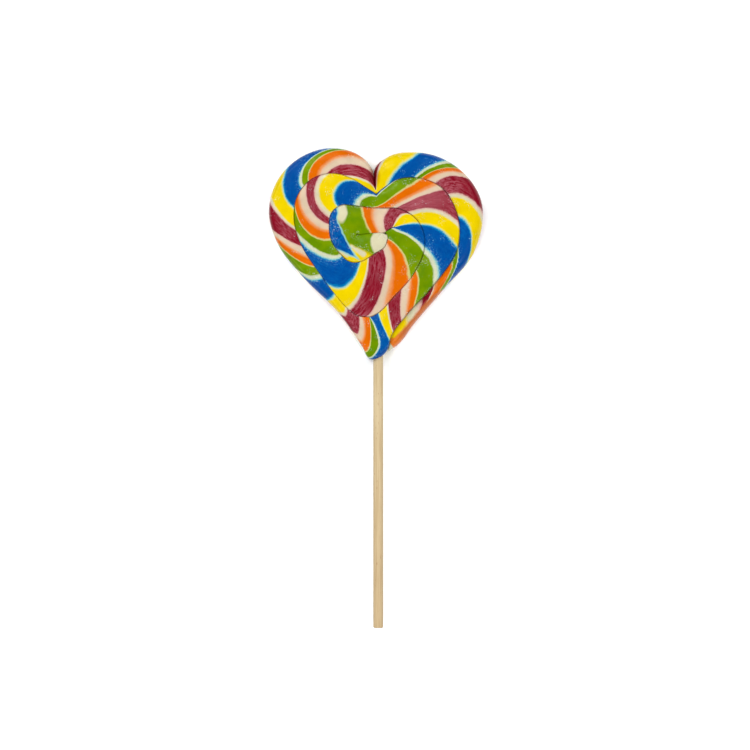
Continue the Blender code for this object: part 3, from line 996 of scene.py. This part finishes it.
def wood_material(axis_x, top_y):
    """Pale turned wood with a long grain, small brown flecks and painted shade on its sides."""
    material, shader = new_material("stick_wood")
    place = add(material, "ShaderNodeTexCoord").outputs["Object"]
    split = add(material, "ShaderNodeSeparateXYZ", {"Vector": place})
    down = math_node(material, "SUBTRACT", top_y, split.outputs["Y"])
    down = times(material, down, 1 / (WOOD_TONE_LENGTH * MM))
    colour = ramp(material, down, ((0.0, WOOD_TOP), (1.0, WOOD_FOOT)))

    grain_map = add(material, "ShaderNodeMapping", {"Vector": place, "Scale": GRAIN_SCALE})
    grain = noise_at(material, grain_map.outputs["Vector"], 1.0, 3.0, 0.6)
    grained = mix(material, 1.0, colour, GRAIN_SHADE, "MULTIPLY")
    colour = mix(material, ramp(material, grain, GRAIN_AT), colour, grained)
    fleck_map = add(material, "ShaderNodeMapping", {"Vector": place, "Scale": FLECK_SCALE})
    flecks = noise_at(material, fleck_map.outputs["Vector"], 1.0, 1.0)
    colour = mix(material, ramp(material, flecks, FLECKS_AT), colour, WOOD_FLECK)
    # Painted shade: the stick's sides darken away from its axis.
    off_axis = math_node(material, "ABSOLUTE", math_node(material, "SUBTRACT", split.outputs["X"], axis_x))
    side = ramp(material, times(material, off_axis, 1 / (STICK_RADIUS * MM)), SIDE_SHADE_AT)
    colour = mix(material, side, colour, WOOD_SIDE_SHADE)

    bump = {"Height": grain, "Strength": 0.4, "Distance": 0.0001}
    links = material.node_tree.links
    links.new(colour, shader.inputs["Base Color"])
    links.new(add(material, "ShaderNodeBump", bump).outputs["Normal"], shader.inputs["Normal"])
    shader.inputs["Roughness"].default_value = 0.62
    shader.inputs["Specular IOR Level"].default_value = 0.3
    return material


def build_floor():
    """A plain pale floor under the lollipop."""
    bm = bmesh.new()
    bmesh.ops.create_grid(bm, x_segments=1, y_segments=1, size=FLOOR_REACH)
    mesh = bpy.data.meshes.new("floor")
    bm.to_mesh(mesh)
    bm.free()
    material, shader = new_material("pale_floor")
    shader.inputs["Base Color"].default_value = FLOOR_GREY
    shader.inputs["Roughness"].default_value = 0.9
    shader.inputs["Specular IOR Level"].default_value = 0.1
    mesh.materials.append(material)
    floor = bpy.data.objects.new("floor", mesh)
    bpy.context.scene.collection.objects.link(floor)


def build_light(name, azimuth, elevation, distance, size, energy, colour):
    """A square soft light that points at the lollipop's middle."""
    data = bpy.data.lights.new(name, "AREA")
    data.shape = "SQUARE"
    data.size = size
    data.energy = energy
    data.color = colour
    light = bpy.data.objects.new(name, data)
    turn, rise = math.radians(azimuth), math.radians(elevation)
    away = Vector((math.sin(turn) * math.cos(rise), math.cos(turn) * math.cos(rise), math.sin(rise)))
    light.location = away * distance
    light.rotation_euler = away.to_track_quat("Z", "Y").to_euler()
    bpy.context.scene.collection.objects.link(light)


def build_lights():
    """The dim even sky and the lights."""
    world = bpy.data.worlds.new("studio")
    bpy.context.scene.world = world
    world.use_nodes = True
    background = world.node_tree.nodes["Background"]
    background.inputs["Color"].default_value = WHITE
    background.inputs["Strength"].default_value = SKY_STRENGTH
    for light in LIGHTS:
        build_light(*light)


def build_camera():
    """A camera straight above, framed as the photograph is."""
    data = bpy.data.cameras.new("camera")
    data.sensor_width = SENSOR_WIDTH
    data.lens = SENSOR_WIDTH * (CAMERA_HEIGHT - STICK_HEIGHT) / PICTURE_WIDTH
    camera = bpy.data.objects.new("camera", data)
    camera.location = (PICTURE_MIDDLE[0] * MM, PICTURE_MIDDLE[1] * MM, CAMERA_HEIGHT * MM)
    bpy.context.scene.collection.objects.link(camera)
    bpy.context.scene.camera = camera


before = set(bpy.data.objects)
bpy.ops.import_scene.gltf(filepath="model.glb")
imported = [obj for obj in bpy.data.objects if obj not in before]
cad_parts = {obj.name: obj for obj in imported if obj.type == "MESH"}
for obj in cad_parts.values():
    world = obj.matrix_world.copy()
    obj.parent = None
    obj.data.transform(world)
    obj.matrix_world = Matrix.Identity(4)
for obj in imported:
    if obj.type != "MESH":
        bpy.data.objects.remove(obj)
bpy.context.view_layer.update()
stick_low, stick_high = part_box("stick")
axis_x = (stick_low.x + stick_high.x) / 2
heart_foot = Vector((axis_x, stick_low.y + STICK_BELOW_HEART * MM, 0.0))

rope = build_rope(heart_foot, sugar_material(heart_foot))
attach(rope, "root")
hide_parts("candy")

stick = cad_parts["stick"]
for material_slot in stick.material_slots:
    material_slot.material = wood_material(axis_x, heart_foot.y)

build_floor()
build_lights()
build_camera()
bpy.context.scene.view_settings.view_transform = "Standard"
